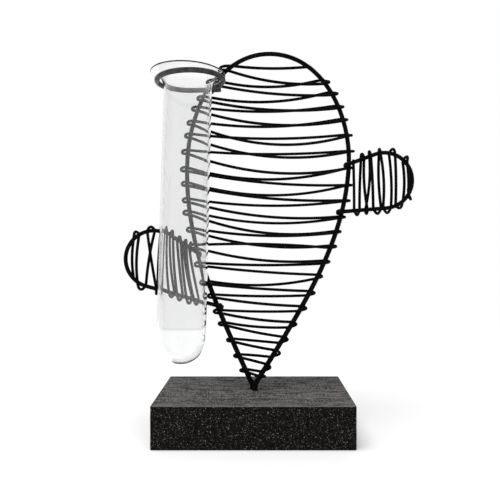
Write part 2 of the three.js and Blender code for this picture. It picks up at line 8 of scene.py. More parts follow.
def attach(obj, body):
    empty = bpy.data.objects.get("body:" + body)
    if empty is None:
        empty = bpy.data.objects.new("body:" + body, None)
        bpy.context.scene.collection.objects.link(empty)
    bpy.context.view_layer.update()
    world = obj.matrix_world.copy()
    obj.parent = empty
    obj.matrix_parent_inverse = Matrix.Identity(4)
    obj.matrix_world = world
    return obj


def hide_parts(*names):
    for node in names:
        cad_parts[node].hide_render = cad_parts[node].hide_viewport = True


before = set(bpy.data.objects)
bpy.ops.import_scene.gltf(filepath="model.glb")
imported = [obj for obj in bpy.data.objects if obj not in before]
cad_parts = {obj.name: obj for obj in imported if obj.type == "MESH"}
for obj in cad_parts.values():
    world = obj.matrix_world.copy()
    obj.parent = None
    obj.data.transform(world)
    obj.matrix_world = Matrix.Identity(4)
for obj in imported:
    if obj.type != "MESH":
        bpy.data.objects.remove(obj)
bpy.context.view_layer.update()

MM = 0.001

# Rod, wire, and the gap that touching pieces keep: the part's own sizes
ROD = 3.2
WIRE = 1.6
SEAT_GAP = 0.3

# Diameters that the rod and wire are drawn with, fitted to how thick and how dark the photo
# shows them; they are not the part's
ROD_AT_FEET = 3.5
ROD_AT_CROWN = 2.9
ROD_IN_LOBES = 2.7
DRAWN_WIRE = 1.94

# Wooden block: wear is how far its faces are worn down, in coarse and fine waves
BLOCK_WIDTH = 126
BLOCK_DEPTH = 70
BLOCK_HEIGHT = 27
BLOCK_EDGE = 0.8
BLOCK_CORNER = 1.2
BLOCK_CELL = 1.5
BLOCK_WEAR = 0.15
COARSE_WEAR = 0.16
FINE_WEAR = 0.5

# Teardrop, in its own plane: u across from the tip, v up its axis
TEAR_HEIGHT = 226
LEFT_HALF_WIDTH = 53.8
RIGHT_HALF_WIDTH = 55.6
TEAR_WIDEST_AT = 152.3
TEAR_LEAN = math.radians(3.5)
TEAR_LEG_ANGLE = math.radians(28.4)
LEG_PULL = 69
FLANK_PULL = 50
SHOULDER_PULL = 34.7
CROWN_PULL = 34.4
TIP_X = -0.5
TIP_RISE = 2
FOOT_DEPTH = 18
FOOT_BEND = 2.4
FOOT_TWIST = math.radians(60)

# Ring: step is from its centre to where its tail crosses the teardrop's rod
RING_BORE = 38
RING_HEIGHT = 229
RING_STEP = 9
RING_TAIL = 8.8
RING_RISE = math.radians(2.2)
RING_DROOP = math.radians(1.3)

# Test tube: its wall and floor are drawn thinner than the part's, and its length is 0.8 more
TUBE_DIAMETER = 30
TUBE_LENGTH = 182.3
TUBE_WALL = 0.95
TUBE_FLOOR = 0.7
LIP_DIAMETER = 46.8
FLARE_RADIUS = 9
RIM_OVERLAP = 0.2
TUBE_LEAN = math.radians(1.1)
TUBE_SHIFT = 1.4

# Under its flare the body is drawn wider and further left than the part's, to fit the photo;
# the change comes in over a neck of this height
BODY_SWELL = 0.033
BODY_OFFSET = 1.1
BODY_NECK = 8

# Lobes: centre is a height and out is how far it lies from the flank, upper and lower are the
# heights where the legs cross the flank, and lower_end is how far the lower leg runs on past it
LEFT_LOBE = {
    "turn": -1,
    "radius": 19,
    "out": 30.9,
    "centre": 115.7,
    "upper": 120,
    "lower": 84.5,
    "lower_end": 5,
}
RIGHT_LOBE = {
    "turn": 1,
    "radius": 18.6,
    "out": 24.2,
    "centre": 168.4,
    "upper": 179.6,
    "lower": 147.4,
    "lower_end": 3,
}
UPPER_LEG_END = 1.6

# Weld beads: radius, stretch along the rod, and how high and how close together their lumps are
BEAD_RADIUS = 1.8
BEAD_SPREAD = 1.15
BEAD_LUMPS = 0.2
COARSE_LUMPS = 0.7
FINE_LUMPS = 2.1
BEAD_DRIFT = 7.3
FOOT_BEAD_RISE = 2

# Mesh fineness
ROD_SIDES = 20
WIRE_SIDES = 10
TUBE_SIDES = 128
STRAND_STEPS = 26
WRAP_STEPS = 14
BRANCH_POINTS = 200
BOWL_STEPS = 24
FLARE_STEPS = 20
RIM_STEPS = 10
SEAT_SAMPLES = 72
END_CHAMFER = 0.15

# Places in metres where the glass changes: from the body's grey to the flare's painted light, and
# from the painted shade at its left edge to the deeper painted shade at its right edge
FLARE_PAINTED_LIGHT_FROM = 0.223
FLARE_PAINTED_LIGHT_TO = 0.231
LEFT_EDGE_SHADE_AT = -0.060
RIGHT_EDGE_SHADE_AT = -0.024

# Table: its far edge is seen through the glass as a darker strip, placed to fit the photo; the
# strip starts, and reaches its full darkness, this many metres short of the edge
TABLE_HALF_WIDTH = 4000
TABLE_FAR_EDGE = 412
STRIP_STARTS = 0.022
STRIP_FULL = 0.01

# Camera, fitted to the photo, in metres
CAMERA_PLACE = (0.003, -0.3324, 0.1234)
CAMERA_LENS = 35.28
CAMERA_SENSOR = 36
CAMERA_SHIFT = (-0.0166, -0.0051)


# Curves, each a function from 0..1 to a point
def straight(start, end):
    return lambda t: start.lerp(end, t)


def quadratic(start, pull, end):
    return lambda t: start.lerp(pull, t).lerp(pull.lerp(end, t), t)


def cubic(start, first_pull, second_pull, end):
    early = quadratic(start, first_pull, second_pull)
    late = quadratic(first_pull, second_pull, end)
    return lambda t: early(t).lerp(late(t), t)


def arc_in_front(centre, radius, start, end):
    def place(t):
        angle = start + (end - start) * t
        return centre + Vector((radius * math.cos(angle), 0, radius * math.sin(angle)))
    return place


def sampled(curve, count):
    return [curve(i / count) for i in range(count + 1)]


def joined(curves, counts):
    """Points along several curves that meet end to end, each meeting point once"""
    points = []
    for curve, count in zip(curves, counts):
        run = sampled(curve, count)
        points.extend(run[1:] if points else run)
    return points


# Teardrop: side is -1 for the left flank and 1 for the right
TIP_HEIGHT = BLOCK_HEIGHT + TIP_RISE
FOOT_X = math.cos(FOOT_TWIST) * (ROD + SEAT_GAP) / 2
FOOT_Y = -math.sin(FOOT_TWIST) * (ROD + SEAT_GAP) / 2


def in_teardrop(u, v, y=0.0):
    x = TIP_X + u * math.cos(TEAR_LEAN) + v * math.sin(TEAR_LEAN)
    z = v * math.cos(TEAR_LEAN) - u * math.sin(TEAR_LEAN)
    return Vector((x, y, TIP_HEIGHT + z))


def flank_curves(side, half_width):
    foot_x = side * FOOT_X
    foot_y = side * FOOT_Y
    bend_v = FOOT_X / math.tan(TEAR_LEG_ANGLE)
    leg_u = FOOT_X + FOOT_BEND * math.sin(TEAR_LEG_ANGLE)
    leg_v = bend_v + FOOT_BEND * math.cos(TEAR_LEG_ANGLE)
    pull_u = LEG_PULL * math.sin(TEAR_LEG_ANGLE)
    pull_v = LEG_PULL * math.cos(TEAR_LEG_ANGLE)
    bend = in_teardrop(side * FOOT_X, bend_v, foot_y)
    bend.x = foot_x
    leg_start = in_teardrop(side * leg_u, leg_v, foot_y)
    widest = in_teardrop(side * half_width, TEAR_WIDEST_AT)
    foot_end = Vector((foot_x, foot_y, BLOCK_HEIGHT - FOOT_DEPTH))
    foot_top = Vector((foot_x, foot_y, bend.z - FOOT_BEND))
    return {
        "foot": straight(foot_end, foot_top),
        "bend": quadratic(foot_top, bend, leg_start),
        "leg": cubic(
            leg_start,
            in_teardrop(side * pull_u, pull_v, foot_y / 2),
            in_teardrop(side * half_width, TEAR_WIDEST_AT - FLANK_PULL),
            widest,
        ),
        "crown": cubic(
            widest,
            in_teardrop(side * half_width, TEAR_WIDEST_AT + SHOULDER_PULL),
            in_teardrop(side * CROWN_PULL, TEAR_HEIGHT),
            in_teardrop(0, TEAR_HEIGHT),
        ),
    }


def teardrop_points():
    parts = ["foot", "bend", "leg", "crown"]
    counts = [4, 10, 90, 60]
    left = joined([left_flank[part] for part in parts], counts)
    right = joined([right_flank[part] for part in parts], counts)
    return left + right[-2::-1]


def branch_of(curves, axis):
    """A run of rod as close points, in rising order of one coordinate"""
    points = [point for curve in curves for point in sampled(curve, BRANCH_POINTS)]
    points.sort(key=lambda point: point[axis])
    return points, axis


def on_branch(branch, value):
    """The branch's point and direction where its coordinate has a value"""
    points, axis = branch
    last = len(points) - 1
    past = next((i for i, point in enumerate(points) if point[axis] >= value), last)
    past = min(max(past, 1), last)
    low = points[past - 1]
    high = points[past]
    share = (value - low[axis]) / max(high[axis] - low[axis], 1e-9)
    point = low.lerp(high, min(max(share, 0), 1))
    tangent = points[min(past + 2, last)] - points[max(past - 3, 0)]
    return point, tangent.normalized()


left_flank = flank_curves(-1, LEFT_HALF_WIDTH)
right_flank = flank_curves(1, RIGHT_HALF_WIDTH)
X_AXIS = 0
Z_AXIS = 2
left_side = branch_of([left_flank["leg"], left_flank["crown"]], Z_AXIS)
right_side = branch_of([right_flank["leg"], right_flank["crown"]], Z_AXIS)

# Lobe: a round end with two straight legs that run in front of the teardrop's rod
FRONT_OF_ROD = -(ROD + SEAT_GAP)


def in_front(point):
    return Vector((point.x, FRONT_OF_ROD, point.z))


def tangent_angle(start, centre, radius, side):
    """Angle on a circle where a straight line from a point meets it"""
    to_point = math.atan2(start.z - centre.z, start.x - centre.x)
    reach = math.hypot(start.x - centre.x, start.z - centre.z)
    return to_point + side * math.acos(radius / reach)


def lobe_parts(lobe, flank):
    turn = lobe["turn"]
    radius = lobe["radius"]
    at_centre = on_branch(flank, lobe["centre"])[0]
    centre = Vector((at_centre.x + turn * lobe["out"], FRONT_OF_ROD, lobe["centre"]))
    upper_cross = in_front(on_branch(flank, lobe["upper"])[0])
    lower_cross = in_front(on_branch(flank, lobe["lower"])[0])
    upper_angle = tangent_angle(upper_cross, centre, radius, -turn)
    lower_angle = tangent_angle(lower_cross, centre, radius, turn)
    if turn < 0:
        lower_angle += 2 * math.pi
    middle = (upper_angle + lower_angle) / 2
    upper_arc = arc_in_front(centre, radius, upper_angle, middle)
    lower_arc = arc_in_front(centre, radius, middle, lower_angle)
    upper_way = (upper_cross - upper_arc(0)).normalized()
    lower_way = (lower_cross - lower_arc(1)).normalized()
    upper_leg = straight(upper_cross + upper_way * UPPER_LEG_END, upper_arc(0))
    lower_leg = straight(lower_arc(1), lower_cross + lower_way * lobe["lower_end"])
    return {
        "points": joined([upper_leg, upper_arc, lower_arc, lower_leg], [12, 32, 32, 12]),
        "upper_cross": upper_cross,
        "lower_cross": lower_cross,
        "upper_way": upper_way,
        "lower_way": lower_way,
        "upper": branch_of([upper_leg, upper_arc], X_AXIS),
        "lower": branch_of([lower_arc, lower_leg], X_AXIS),
    }


left_lobe = lobe_parts(LEFT_LOBE, left_side)
right_lobe = lobe_parts(RIGHT_LOBE, right_side)

# Ring: one loop whose tail runs straight on across the front of the teardrop's rod
RING_RADIUS = (RING_BORE + ROD) / 2
ring_turn = Matrix.Rotation(RING_DROOP, 3, "X") @ Matrix.Rotation(-RING_RISE, 3, "Y")
tail_cross = in_front(on_branch(left_side, RING_HEIGHT)[0])
ring_centre = ring_turn @ Vector((-RING_STEP, -RING_RADIUS, 0)) + tail_cross


def ring_points():
    # The loop stops where its end would touch the tail
    end_gap = ROD + 2 * SEAT_GAP
    start_angle = math.pi / 2
    end_angle = 2 * math.pi + math.asin(1 - end_gap / RING_RADIUS)

    def loop(t):
        angle = start_angle + (end_angle - start_angle) * t
        return Vector((RING_RADIUS * math.cos(angle), RING_RADIUS * math.sin(angle), 0))

    tail = straight(Vector((RING_STEP + RING_TAIL, RING_RADIUS, 0)), Vector((0, RING_RADIUS, 0)))
    return [ring_turn @ point + ring_centre for point in joined([tail, loop], [12, 120])]


# Test tube
tube_place = Matrix.Translation((ring_centre.x - TUBE_SHIFT, ring_centre.y, ring_centre.z))
tube_place = tube_place @ Matrix.Rotation(TUBE_LEAN, 4, "Y")


def flare_seat():
    """Height of the flare's start over the ring's centre when the flare rests on the ring"""
    flare_x = TUBE_DIAMETER / 2 + FLARE_RADIUS
    reach = FLARE_RADIUS - ROD / 2 - SEAT_GAP
    to_tube = tube_place.inverted()
    levels = []
    for i in range(SEAT_SAMPLES):
        angle = 2 * math.pi * i / SEAT_SAMPLES
        flat = Vector((RING_RADIUS * math.cos(angle), RING_RADIUS * math.sin(angle), 0))
        place = to_tube @ (ring_turn @ flat + ring_centre)
        across = flare_x - math.hypot(place.x, place.y)
        levels.append(place.z - math.sqrt(reach ** 2 - across ** 2))
    return max(levels)


flare_seat_height = flare_seat()


def tube_outline():
    """Half section of the tube, from the outside of its foot over the rim to the inside"""
    flare_z = flare_seat_height
    radius = TUBE_DIAMETER / 2
    bore_radius = radius - TUBE_WALL
    flare_x = radius + FLARE_RADIUS
    rim_radius = TUBE_WALL / 2
    flare_end = math.acos((flare_x + rim_radius - LIP_DIAMETER / 2) / (FLARE_RADIUS + rim_radius))
    rim_x = flare_x - (FLARE_RADIUS + rim_radius) * math.cos(flare_end)
    rim_z = flare_z + (FLARE_RADIUS + rim_radius) * math.sin(flare_end)
    bottom = rim_z + rim_radius - TUBE_LENGTH
    outline = []

    def arc(x, z, r, start, end, steps):
        for i in range(steps + 1):
            angle = start + (end - start) * i / steps
            outline.append((x + r * math.cos(angle), z + r * math.sin(angle)))

    rim_start = -flare_end + RIM_OVERLAP
    rim_stop = math.pi - flare_end - RIM_OVERLAP
    bore_bottom = bottom + TUBE_FLOOR
    arc(0, bottom + radius, radius, -math.pi / 2, 0, BOWL_STEPS)
    arc(flare_x, flare_z, FLARE_RADIUS, math.pi, math.pi - flare_end, FLARE_STEPS)
    arc(rim_x, rim_z, rim_radius, rim_start, rim_stop, RIM_STEPS)
    arc(flare_x, flare_z, FLARE_RADIUS + TUBE_WALL, math.pi - flare_end, math.pi, FLARE_STEPS)
    arc(0, bore_bottom + bore_radius, bore_radius, 0, -math.pi / 2, BOWL_STEPS)
    return outline


def body_drift(place):
    """Moves a point of the tube from its plain round shape to the wider, shifted body's"""
    share = (flare_seat_height - place.z) / BODY_NECK
    share = min(max(share, 0), 1)
    below = share * share * (3 - 2 * share)
    swell = 1 + BODY_SWELL * below
    return Vector((place.x * swell - BODY_OFFSET * below, place.y * swell, place.z))


# Windings: one wire runs to and fro between two branches of rod, over the front one way
# and behind the other way, and turns round the outside of each rod
WIRE_STAND_OFF = (ROD + WIRE) / 2 + SEAT_GAP
TUCK = 2 * WIRE

# How far a turn stands off the rod: a little more or less from one turn to the next, more round
# the left flank, and most at the first turn, which is an open loop
TURN_SLACK = 0.4
SLACK_RATE = 2.2
SLACK_PHASE = 1.6
LEFT_SLACK = 1.1
LOOSE_LOOP = 2.3

# How far a turn rises before it comes round and drops after it, so that it shows as a loop, and
# the share of the strands, next to the tip, over which the loops close up
LEFT_CURL = 0.8
LOOSE_CURL = 1
TIP_TURNS = 0.4


def turn_slack(strand, phase=0):
    return TURN_SLACK * (1 + math.sin(SLACK_RATE * strand + phase))


LEFTWARD = Vector((-1, 0, 0))
RIGHTWARD = Vector((1, 0, 0))
UPWARD = Vector((0, 0, 1))
DOWNWARD = Vector((0, 0, -1))


def along(spacing, index, count):
    """Hand-made spacing: even steps from a first to a last value, and a few waves"""
    first = spacing["first"]
    value = first + (spacing["last"] - first) * index / (count - 1)
    for size, rate, phase in spacing["waves"]:
        value += size * math.sin(rate * index + phase)
    return value


def turn_on_rod(winding, end, value, angle, spare=0.0):
    """Place on the half turn round a rod: angle 0 is behind it and pi in front of it"""
    point, tangent = on_branch(winding["sides"][end], value)
    outward = winding["outward"][end]
    normal = Vector((tangent.z, 0, -tangent.x)).normalized()
    if normal.dot(outward) < 0:
        normal.negate()
    way = (normal * winding["lean"] + outward).normalized()
    reach = WIRE_STAND_OFF / abs(way.x * tangent.z - way.z * tangent.x)
    place = point + way * (reach + spare) * math.sin(angle)
    place.y += WIRE_STAND_OFF * math.cos(angle)
    return place


def winding_points(winding):
    points = []
    seat = winding["seat"]
    outward = winding["outward"]
    strands = winding["strands"]
    for strand in range(strands):
        start_end = (strand + winding["starts_at"]) % 2
        far_end = 1 - start_end
        is_behind = (strand % 2 == 0) == winding["starts_behind"]
        plane = 0 if is_behind else math.pi
        start = turn_on_rod(winding, start_end, seat(start_end, strand), plane)
        end = turn_on_rod(winding, far_end, seat(far_end, strand), plane)
        if strand == 0:
            points.append(start + outward[start_end] * ROD / 2)
        depth = winding["sag"](strand, (end - start).length)
        for i in range(STRAND_STEPS):
            t = i / STRAND_STEPS
            points.append(start.lerp(end, t) + winding["sag_way"] * 4 * depth * t * (1 - t))
        is_last = strand == strands - 1
        here = seat(far_end, strand)
        there = here + winding["last_step"] if is_last else seat(far_end, strand + 1)
        for i in range(WRAP_STEPS):
            t = i / WRAP_STEPS
            angle = plane + (math.pi - 2 * plane) * t
            value = here + (there - here) * t
            place = turn_on_rod(winding, far_end, value, angle, winding["slack"](strand))
            place.z += winding["curl"](strand) * math.sin(2 * angle)
            points.append(place)
    tuck = turn_on_rod(winding, far_end, there, math.pi - plane)
    return points + [tuck, tuck - outward[far_end] * TUCK]


# Body winding: heights of the wire's turns on each flank, from the top down; each wave is its
# size, rate and phase, and all these values were fitted to the photo
BODY_STRANDS = 42
BODY_TURNS = BODY_STRANDS // 2 + 1
LEFT_TURNS = {
    "first": 247.19,
    "last": 31.06,
    "waves": [(2.49, 0.338, -0.8), (1.3, 1.005, -3.12), (0.67, 2.654, -0.3)],
}
RIGHT_TURNS = {
    "first": 248.49,
    "last": 31.23,
    "waves": [(4.62, 0.49, -2.08), (4.37, 0.572, 0), (0.28, 2.579, -2.88)],
}

# Half the height between a turn's rear strand and its front strand
LEFT_SPREAD = {"first": 2.18, "last": 0.15, "waves": []}
RIGHT_SPREAD = {"first": 2.42, "last": -3.34, "waves": []}

# How far a strand as long as the teardrop is wide hangs down in its middle
REAR_SAG = {
    "first": 7.13,
    "last": 1.6,
    "waves": [(2.63, 0.881, 0.46), (2.05, 1.791, -3.31), (3.62, 1.947, -0.65)],
}
FRONT_SAG = {
    "first": 8.37,
    "last": 2.43,
    "waves": [(2.88, 1.029, -3.06), (0.56, 2.11, 1.07), (0.81, 3.158, -4.08)],
}


def body_seat(end, strand):
    on_left = end == 0
    turn = strand // 2 if on_left else (strand + 1) // 2
    spread = along(LEFT_SPREAD if on_left else RIGHT_SPREAD, turn, BODY_TURNS)
    middle = along(LEFT_TURNS if on_left else RIGHT_TURNS, turn, BODY_TURNS)
    return middle + spread if strand % 2 == 0 else middle - spread


def body_sag(strand, span):
    full = along(REAR_SAG if strand % 2 == 0 else FRONT_SAG, strand // 2, BODY_TURNS)
    return full * (span / (LEFT_HALF_WIDTH + RIGHT_HALF_WIDTH)) ** 2


def looseness(strand):
    """1 round the left flank and less near the tip, 0 round the right flank"""
    if strand % 2 == 1:
        return 0
    return min(1, (1 - strand / BODY_STRANDS) / TIP_TURNS)


def body_slack(strand):
    if strand == 0:
        return LOOSE_LOOP
    return LEFT_SLACK * looseness(strand) + turn_slack(strand, SLACK_PHASE)


def body_curl(strand):
    return LOOSE_CURL if strand == 0 else LEFT_CURL * looseness(strand)


def no_curl(strand):
    return 0


body_winding = {
    "sides": [left_side, right_side],
    "outward": [LEFTWARD, RIGHTWARD],
    "lean": 0,
    "strands": BODY_STRANDS,
    "starts_at": 1,
    "starts_behind": True,
    "seat": body_seat,
    "last_step": -WIRE / 2,
    "sag": body_sag,
    "sag_way": DOWNWARD,
    "slack": body_slack,
    "curl": body_curl,
}

# Lobe windings: where each strand crosses the upper and the lower rod, in X
STAGGER = 0.55
RIGHT_STRANDS = 11
RIGHT_UPPER = {
    "first": 66.2,
    "last": 101.5,
    "waves": [(1.5, 0.74, 0.7), (1.2, 2.82, 0.05), (0.5, 1.76, -0.87)],
}
RIGHT_LOWER = {
    "first": 66.8,
    "last": 102.1,
    "waves": [(1.2, 1.62, -0.51), (1.55, 2.46, 2.9), (0.85, 0.82, 1.06)],
}
RIGHT_BOW = {"first": -0.35, "last": 1.15, "waves": [(0.7, 1.66, 2.63), (0.85, 2.3, 0.19)]}
LEFT_STRANDS = 13
LEFT_UPPER = {"first": -78.3, "last": -39.7, "waves": [(2.65, 0.46, -0.78), (0.85, 1.06, -2.12)]}
LEFT_LOWER = {
    "first": -80,
    "last": -32.8,
    "waves": [(2.15, 0.46, -0.91), (1.2, 2.54, 0.56), (1, 1.86, 2.95)],
}
LEFT_BOW = {"first": 0.8, "last": 0.8, "waves": [(0.5, 1.3, 0.4)]}

# Two neighbouring strands of the left lobe cross: they swap their upper seats
CROSSED_STRAND = 2


def stagger(strand):
    return -STAGGER if strand % 2 == 0 else STAGGER


def crossed_over(strand):
    if strand == CROSSED_STRAND:
        return strand + 1
    return strand - 1 if strand == CROSSED_STRAND + 1 else strand


def right_seat(end, strand):
    spacing = RIGHT_UPPER if end == 0 else RIGHT_LOWER
    return along(spacing, strand, RIGHT_STRANDS) + stagger(strand)


def left_seat(end, strand):
    spacing = LEFT_UPPER if end == 0 else LEFT_LOWER
    place = crossed_over(strand) if end == 0 else strand
    return along(spacing, place, LEFT_STRANDS) + stagger(strand)


right_winding = {
    "sides": [right_lobe["upper"], right_lobe["lower"]],
    "outward": [UPWARD, DOWNWARD],
    "lean": 1,
    "strands": RIGHT_STRANDS,
    "starts_at": 0,
    "starts_behind": False,
    "seat": right_seat,
    "last_step": WIRE,
    "sag": lambda strand, span: along(RIGHT_BOW, strand, RIGHT_STRANDS),
    "sag_way": RIGHTWARD,
    "slack": turn_slack,
    "curl": no_curl,
}
left_winding = {
    "sides": [left_lobe["upper"], left_lobe["lower"]],
    "outward": [UPWARD, DOWNWARD],
    "lean": 1,
    "strands": LEFT_STRANDS,
    "starts_at": 1,
    "starts_behind": True,
    "seat": left_seat,
    "last_step": WIRE,
    "sag": lambda strand, span: along(LEFT_BOW, strand, LEFT_STRANDS),
    "sag_way": LEFTWARD,
    "slack": turn_slack,
    "curl": no_curl,
}


# Meshes
def to_object(name, mesh_data):
    """New object from a bmesh in millimetres, smooth shaded"""
    bmesh.ops.recalc_face_normals(mesh_data, faces=mesh_data.faces)
    bmesh.ops.scale(mesh_data, vec=(MM, MM, MM), verts=mesh_data.verts)
    for face in mesh_data.faces:
        face.smooth = True
    mesh = bpy.data.meshes.new(name)
    mesh_data.to_mesh(mesh)
    mesh_data.free()
    piece = bpy.data.objects.new(name, mesh)
    bpy.context.collection.objects.link(piece)
    return piece


def softened(points, passes):
    """The same run with its sharp bends eased, its two ends kept"""
    for _ in range(passes):
        inner = [
            (before + point * 2 + after) / 4
            for before, point, after in zip(points, points[1:], points[2:])
        ]
        points = [points[0]] + inner + [points[-1]]
    return points


def swept(name, points, thickness, sides):
    """Round bar through a run of points, with a small chamfer at each cut end; thickness is a
    function that gives its diameter at a point"""
    chamfer = thickness(points[0]) * END_CHAMFER
    start_way = (points[1] - points[0]).normalized()
    end_way = (points[-1] - points[-2]).normalized()
    run = [points[0], points[0] + start_way * chamfer] + points[1:-1]
    run += [points[-1] - end_way * chamfer, points[-1]]
    last = len(run) - 1
    tangents = [(run[min(i + 1, last)] - run[max(i - 1, 0)]).normalized() for i in range(len(run))]
    across = tangents[0].orthogonal().normalized()
    mesh_data = bmesh.new()
    rings = []
    for i, (point, tangent) in enumerate(zip(run, tangents)):
        if i > 0:
            across.rotate(tangents[i - 1].rotation_difference(tangent))
            across = (across - tangent * across.dot(tangent)).normalized()
        up = tangent.cross(across)
        radius = thickness(point) / 2
        size = radius - chamfer if i in (0, last) else radius
        ring = []
        for side in range(sides):
            angle = 2 * math.pi * side / sides
            place = point + (across * math.cos(angle) + up * math.sin(angle)) * size
            ring.append(mesh_data.verts.new(place))
        rings.append(ring)
    for near, far in zip(rings, rings[1:]):
        for side in range(sides):
            after = (side + 1) % sides
            mesh_data.faces.new((near[side], near[after], far[after], far[side]))
    mesh_data.faces.new(rings[0])
    mesh_data.faces.new(rings[-1])
    return to_object(name, mesh_data)


def rod_thickness(point):
    """The rod's diameter at a height over the table"""
    share = (point.z - BLOCK_HEIGHT) / TEAR_HEIGHT
    return ROD_AT_FEET + (ROD_AT_CROWN - ROD_AT_FEET) * share


def evenly(diameter):
    """Thickness function of a bar that is as thick everywhere"""
    return lambda point: diameter


def lathed(name, outline, sides, reshape, place):
    """Body of revolution whose outline starts and ends on the axis, reshaped point by point"""
    mesh_data = bmesh.new()
    start = mesh_data.verts.new((0, 0, outline[0][1]))
    end = mesh_data.verts.new((0, 0, outline[-1][1]))
    rings = []
    for x, z in outline[1:-1]:
        angles = [2 * math.pi * side / sides for side in range(sides)]
        rings.append([mesh_data.verts.new((x * math.cos(a), x * math.sin(a), z)) for a in angles])
    for side in range(sides):
        after = (side + 1) % sides
        mesh_data.faces.new((start, rings[0][side], rings[0][after]))
        mesh_data.faces.new((end, rings[-1][after], rings[-1][side]))
        for near, far in zip(rings, rings[1:]):
            mesh_data.faces.new((near[side], far[side], far[after], near[after]))
    for vert in mesh_data.verts:
        vert.co = reshape(vert.co)
    mesh_data.transform(place)
    return to_object(name, mesh_data)


def weld_bead(name, centre, way, seed):
    """Lump of weld metal, drawn out along the rod that it sits on"""
    mesh_data = bmesh.new()
    bmesh.ops.create_icosphere(mesh_data, subdivisions=4, radius=BEAD_RADIUS)
    turn = Vector((0, 0, 1)).rotation_difference(way).to_matrix()
    drift = Vector((seed * BEAD_DRIFT, 0, 0))
    for vert in mesh_data.verts:
        lump = 1 + BEAD_LUMPS * noise.noise(vert.co * COARSE_LUMPS + drift)
        lump += BEAD_LUMPS / 3 * noise.noise(vert.co * FINE_LUMPS + drift)
        place = Vector((vert.co.x, vert.co.y, vert.co.z * BEAD_SPREAD)) * lump
        vert.co = centre + turn @ place
    return to_object(name, mesh_data)


def is_upright(edge):
    return abs(edge.verts[0].co.z - edge.verts[1].co.z) > BLOCK_HEIGHT / 2


def block():
    """Wooden block with softened edges and slightly worn faces, still without its holes"""
    mesh_data = bmesh.new()
    bmesh.ops.create_cube(mesh_data, size=1)
    bmesh.ops.scale(mesh_data, vec=(BLOCK_WIDTH, BLOCK_DEPTH, BLOCK_HEIGHT), verts=mesh_data.verts)
    bmesh.ops.translate(mesh_data, vec=(0, 0, BLOCK_HEIGHT / 2), verts=mesh_data.verts)
    for upright, offset in ((True, BLOCK_CORNER), (False, BLOCK_EDGE)):
        edges = [edge for edge in mesh_data.edges if is_upright(edge) == upright]
        bmesh.ops.bevel(
            mesh_data, geom=edges, offset=offset, segments=3, profile=0.5, affect="EDGES"
        )
    for axis, size in enumerate((BLOCK_WIDTH, BLOCK_DEPTH, BLOCK_HEIGHT)):
        cuts = round(size / BLOCK_CELL)
        low = 0 if axis == Z_AXIS else -size / 2
        normal = Vector([1 if i == axis else 0 for i in range(3)])
        for i in range(1, cuts):
            geometry = mesh_data.verts[:] + mesh_data.edges[:] + mesh_data.faces[:]
            middle = normal * (low + size * i / cuts)
            bmesh.ops.bisect_plane(mesh_data, geom=geometry, plane_co=middle, plane_no=normal)
    centre = Vector((0, 0, BLOCK_HEIGHT / 2))
    for vert in mesh_data.verts:
        if vert.co.z > BLOCK_EDGE:
            wear = abs(noise.noise(vert.co * COARSE_WEAR))
            wear += abs(noise.noise(vert.co * FINE_WEAR)) / 2
            vert.co += (centre - vert.co).normalized() * BLOCK_WEAR * wear
    return to_object("wooden_block", mesh_data)


def drilled(piece):
    """Cuts the two holes for the rod's feet"""
    for side in (-1, 1):
        mesh_data = bmesh.new()
        hole_radius = (ROD_AT_FEET + SEAT_GAP) / 2
        bmesh.ops.create_cone(
            mesh_data, cap_ends=True, segments=ROD_SIDES * 2, radius1=hole_radius,
            radius2=hole_radius, depth=2 * (FOOT_DEPTH + SEAT_GAP),
        )
        bmesh.ops.translate(
            mesh_data, vec=(side * FOOT_X, side * FOOT_Y, BLOCK_HEIGHT), verts=mesh_data.verts
        )
        drill = to_object("drill", mesh_data)
        cut = piece.modifiers.new("hole", "BOOLEAN")
        cut.object = drill
        cut.solver = "EXACT"
        with bpy.context.temp_override(object=piece, active_object=piece):
            bpy.ops.object.modifier_apply(modifier=cut.name)
        bpy.data.objects.remove(drill)
    return piece


# Materials
def add_node(tree, kind, settings=None, inputs=None):
    """New node; an input is a value, or another node's output to link"""
    made = tree.nodes.new(kind)
    for name, value in (settings or {}).items():
        setattr(made, name, value)
    for name, value in (inputs or {}).items():
        socket = made.inputs[name]
        if isinstance(value, bpy.types.NodeSocket):
            tree.links.new(value, socket)
        else:
            socket.default_value = value
    return made


def new_material(name):
    """Material with a Principled shader; gives the material, its node tree and that shader"""
    material = bpy.data.materials.new(name)
    material.use_nodes = True
    tree = material.node_tree
    return material, tree, tree.nodes["Principled BSDF"]


def place_in_object(tree, scale=(1, 1, 1)):
    """Object coordinates in metres, stretched by a scale"""
    coordinates = add_node(tree, "ShaderNodeTexCoord").outputs["Object"]
    mapping = add_node(tree, "ShaderNodeMapping", inputs={"Vector": coordinates, "Scale": scale})
    return mapping.outputs["Vector"]


def noise_value(tree, place, scale, detail=4.0, roughness=0.6):
    settings = {"Vector": place, "Scale": scale, "Detail": detail, "Roughness": roughness}
    return add_node(tree, "ShaderNodeTexNoise", inputs=settings).outputs["Fac"]


def spread(tree, value, low, high, to_low=0.0, to_high=1.0):
    """Value stretched from one range to another, and held inside it"""
    ranges = {"Value": value, "From Min": low, "From Max": high}
    ranges.update({"To Min": to_low, "To Max": to_high})
    return add_node(tree, "ShaderNodeMapRange", inputs=ranges).outputs["Result"]


def blended(tree, share, low, high):
    """Colour from low to high; each is a colour or a colour output"""
    mix = add_node(tree, "ShaderNodeMix", settings={"data_type": "RGBA"})
    tree.links.new(share, mix.inputs["Factor"])
    for socket, colour in zip((mix.inputs[6], mix.inputs[7]), (low, high)):
        if isinstance(colour, bpy.types.NodeSocket):
            tree.links.new(colour, socket)
        else:
            socket.default_value = (*colour, 1)
    return mix.outputs[2]


def bumped(tree, shader, height, distance, strength=1.0):
    inputs = {"Height": height, "Distance": distance, "Strength": strength}
    bump = add_node(tree, "ShaderNodeBump", inputs=inputs)
    tree.links.new(bump.outputs["Normal"], shader.inputs["Normal"])


